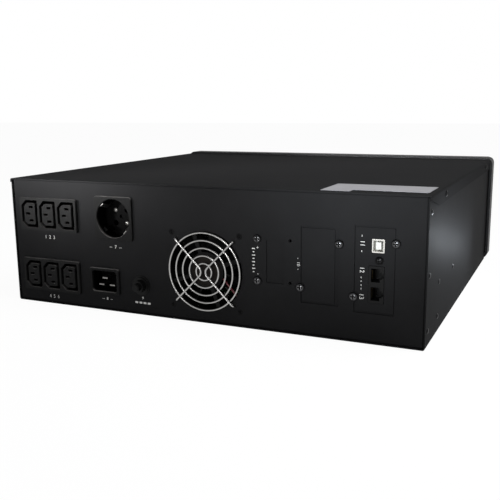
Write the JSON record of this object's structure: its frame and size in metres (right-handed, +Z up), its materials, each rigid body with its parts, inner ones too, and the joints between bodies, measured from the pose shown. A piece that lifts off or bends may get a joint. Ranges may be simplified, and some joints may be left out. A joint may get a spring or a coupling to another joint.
{
  "type": "uninterruptible power supply",
  "caption": "Low wide black steel case with appliance outlets, an earthed wall socket, mains inlet, breaker, guarded fan and card slots on its rear panel, and a plastic bezel with display.",
  "frame": {"origin": "on the surface it stands on, under the centre of its bounding box", "axes": "+X right seen from the front, +Y towards the rear panel with the sockets, +Z up"},
  "size_m": [0.443, 0.4272, 0.1335],
  "materials": {
    "black_steel": "fine-textured black powder coat",
    "bezel_plastic": "satin black moulding",
    "socket_plastic": "satin black moulding",
    "button_plastic": "satin dark grey",
    "black_screw": "black zinc",
    "guard_wire": "bright nickel plate",
    "plated_contact": "nickel plate",
    "brass_contact": "plain",
    "label_film": "silver film",
    "white_plastic": "plain",
    "fan_plastic": "satin black moulding",
    "red_insulation": "smooth",
    "black_insulation": "smooth",
    "window_lens": "gloss smoked",
    "screen_face": "gloss",
    "circuit_board": "green solder mask",
    "light_lens": "clear moulding",
    "battery_case": "moulded grey",
    "zinc_steel": "zinc plate",
    "core_steel": "varnished laminations",
    "winding_copper": "varnished copper under tape",
    "sink_aluminium": "plain extrusion",
    "part_plastic": "plain",
    "capacitor_sleeve": "plain"
  },
  "bodies": {
    "chassis": {"base_tray": "black_steel", "top_cover": "black_steel", "rear_panel": "black_steel", "front_panel": "black_steel", "front_bezel": "bezel_plastic", "cover_screws": "black_screw", "panel_rivets": "black_screw", "blank_label": "label_film", "upper_outlet_strip": "socket_plastic", "lower_outlet_strip": "socket_plastic", "outlet_contacts": "brass_contact", "wall_socket_frame": "socket_plastic", "wall_socket_insert": "socket_plastic", "earth_clips": "plated_contact", "wall_socket_screws": "plated_contact", "inlet_housing": "socket_plastic", "inlet_pins": "plated_contact", "breaker_body": "socket_plastic", "breaker_nut": "black_screw", "fan_frame": "fan_plastic", "fan_guard": "guard_wire", "fan_screws": "black_screw", "fan_lead": "red_insulation", "battery_port_plate": "black_steel", "option_slot_cover": "black_steel", "interface_bracket": "black_steel", "interface_board": "circuit_board", "plate_screws": "black_screw", "card_shelf": "zinc_steel", "usb_shell": "plated_contact", "usb_tongue": "white_plastic", "phone_jack_block": "socket_plastic", "display_window": "window_lens", "display_screen": "screen_face", "display_board": "circuit_board", "button_switches": "part_plastic", "status_lights": "light_lens", "battery_1": "battery_case", "battery_2": "battery_case", "battery_3": "battery_case", "battery_4": "battery_case", "battery_terminals": "brass_contact", "battery_bracket": "zinc_steel", "battery_wiring": "red_insulation", "transformer_core": "core_steel", "transformer_winding": "winding_copper", "transformer_clamps": "zinc_steel", "transformer_bolts": "zinc_steel", "main_board": "circuit_board", "board_standoffs": "white_plastic", "heat_sinks": "sink_aluminium", "power_transistors": "part_plastic", "board_capacitors": "capacitor_sleeve", "mains_wires": "black_insulation"},
    "fan_rotor": {"fan_rotor": "fan_plastic"},
    "breaker_button": {"breaker_button": "socket_plastic"},
    "power_button": {"power_button": "button_plastic"},
    "scroll_button": {"scroll_button": "button_plastic"},
    "enter_button": {"enter_button": "button_plastic"}
  },
  "joints": [
    {"name": "fan_spin", "type": "hinge", "parent": "chassis", "child": "fan_rotor", "pos_m": [-0.0106, 0.19, 0.0505], "axis": [0, 1, 0], "continuous": true},
    {"name": "breaker_trip", "type": "slide", "parent": "chassis", "child": "breaker_button", "axis": [0, 1, 0], "range_m": [0, 0.004]},
    {"name": "power_press", "type": "slide", "parent": "chassis", "child": "power_button", "axis": [0, 1, 0], "range_m": [0, 0.0012], "stiffness_N_per_m": 400},
    {"name": "scroll_press", "type": "slide", "parent": "chassis", "child": "scroll_button", "axis": [0, 1, 0], "range_m": [0, 0.0012], "stiffness_N_per_m": 400},
    {"name": "enter_press", "type": "slide", "parent": "chassis", "child": "enter_button", "axis": [0, 1, 0], "range_m": [0, 0.0012], "stiffness_N_per_m": 400}
  ]
}
